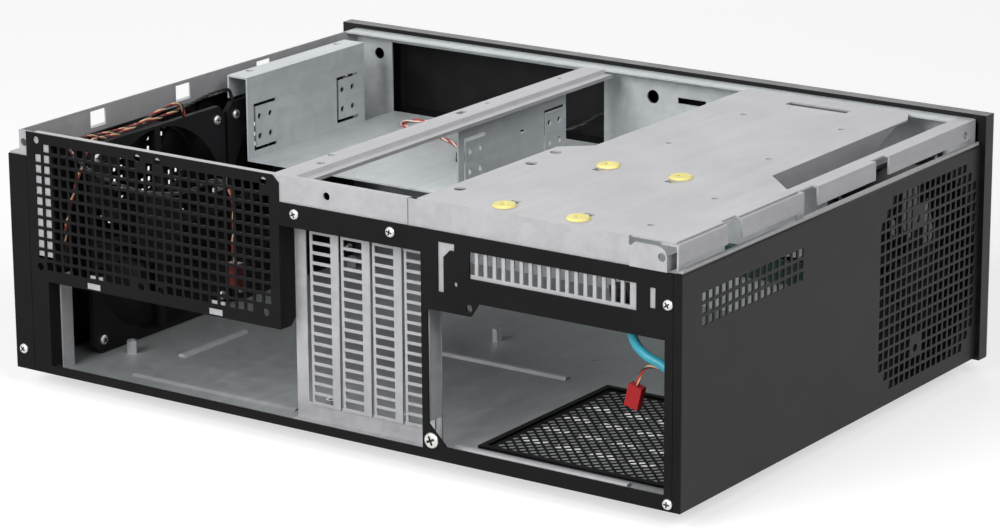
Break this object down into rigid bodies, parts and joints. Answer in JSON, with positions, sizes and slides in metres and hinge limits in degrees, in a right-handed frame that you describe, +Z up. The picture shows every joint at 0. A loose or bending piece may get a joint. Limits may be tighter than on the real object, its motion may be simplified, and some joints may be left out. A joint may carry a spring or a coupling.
{
  "type": "htpc case",
  "caption": "Low desktop computer case without its top cover: folded steel chassis with side fans, drive bay and plate, vented rear and slot covers, and a front bezel with a drive door.",
  "frame": {"origin": "on the table, under the middle of the case's bounding box", "axes": "+X to the case's right as seen from its front (the left of the picture), +Y from the front bezel to the rear panel, +Z up"},
  "size_m": [0.44, 0.3218, 0.15],
  "materials": {
    "black_steel": "satin black powder coat",
    "galvanised_steel": "dull galvanised sheet",
    "grommet_rubber": "soft pale yellow",
    "filter_plastic": "black mesh",
    "standoff_steel": "turned and zinc plated",
    "foot_plastic": "fine texture",
    "foot_rubber": "matte",
    "bezel_plastic": "satin black",
    "button_plastic": "satin silver",
    "board_laminate": "green laminate",
    "socket_steel": "bright stamped shell",
    "jack_plastic": "black",
    "fan_plastic": "moulded black",
    "screw_steel": "nickel plated",
    "fan_wire": "insulated strands",
    "fan_plug_plastic": "moulded red-brown",
    "bay_wire": "insulated strands",
    "teal_sheath": "smooth sheath",
    "red_plastic": "moulded red"
  },
  "bodies": {
    "case": {"floor_pan": "galvanised_steel", "side_panel_left": "black_steel", "side_panel_right": "black_steel", "rear_panel": "black_steel", "rear_post": "galvanised_steel", "rear_vent_plate": "black_steel", "vent_plate_clips": "galvanised_steel", "lead_hook": "galvanised_steel", "slot_frame": "galvanised_steel", "slot_cover_1": "galvanised_steel", "slot_cover_2": "galvanised_steel", "slot_cover_3": "galvanised_steel", "slot_cover_4": "galvanised_steel", "front_panel": "galvanised_steel", "top_rail_left": "galvanised_steel", "top_rail_right": "galvanised_steel", "top_rail_rear": "galvanised_steel", "rear_corner_bracket": "galvanised_steel", "centre_bar": "galvanised_steel", "drive_bay": "galvanised_steel", "drive_plate": "galvanised_steel", "drive_grommets": "grommet_rubber", "psu_filter": "filter_plastic", "motherboard_standoffs": "standoff_steel", "feet": "foot_plastic", "foot_pads": "foot_rubber", "front_bezel": "bezel_plastic", "panel_switches": "bezel_plastic", "port_board": "board_laminate", "usb_sockets": "socket_steel", "audio_jacks": "jack_plastic", "fan_frame_a": "fan_plastic", "fan_frame_b": "fan_plastic", "fan_frame_c": "fan_plastic", "panel_screws": "screw_steel", "psu_corner_screw": "screw_steel", "slot_screws": "screw_steel", "fan_screws": "screw_steel", "fan_lead_a": "fan_wire", "fan_plug_a": "fan_plug_plastic", "fan_lead_b": "fan_wire", "fan_plug_b": "fan_plug_plastic", "bay_lead": "bay_wire", "bay_plug": "jack_plastic", "port_cable": "teal_sheath", "port_plug": "jack_plastic", "plug_lead": "bay_wire", "red_plug": "red_plastic", "cable_tie": "jack_plastic"},
    "rotor_a": {"fan_rotor_a": "fan_plastic"},
    "rotor_b": {"fan_rotor_b": "fan_plastic"},
    "rotor_c": {"fan_rotor_c": "fan_plastic"},
    "door": {"drive_door": "bezel_plastic"},
    "power_cap": {"power_button": "button_plastic"},
    "reset_cap": {"reset_button": "button_plastic"}
  },
  "joints": [
    {"name": "fan_a_spin", "type": "hinge", "parent": "case", "child": "rotor_a", "pos_m": [0.2035, 0.0634, 0.0725], "axis": [1, 0, 0], "continuous": true},
    {"name": "fan_b_spin", "type": "hinge", "parent": "case", "child": "rotor_b", "pos_m": [0.2035, -0.059, 0.0725], "axis": [1, 0, 0], "continuous": true},
    {"name": "fan_c_spin", "type": "hinge", "parent": "case", "child": "rotor_c", "pos_m": [-0.2035, -0.0868, 0.0725], "axis": [1, 0, 0], "continuous": true},
    {"name": "door_hinge", "type": "hinge", "parent": "case", "child": "door", "pos_m": [0.1045, -0.1591, 0.1004], "axis": [1, 0, 0], "range_deg": [0, 85], "stiffness_Nm_per_rad": 0.02, "springref_deg": -17.19},
    {"name": "power_press", "type": "slide", "parent": "case", "child": "power_cap", "axis": [0, 1, 0], "range_m": [0, 0.002], "stiffness_N_per_m": 300},
    {"name": "reset_press", "type": "slide", "parent": "case", "child": "reset_cap", "axis": [0, 1, 0], "range_m": [0, 0.002], "stiffness_N_per_m": 300}
  ]
}
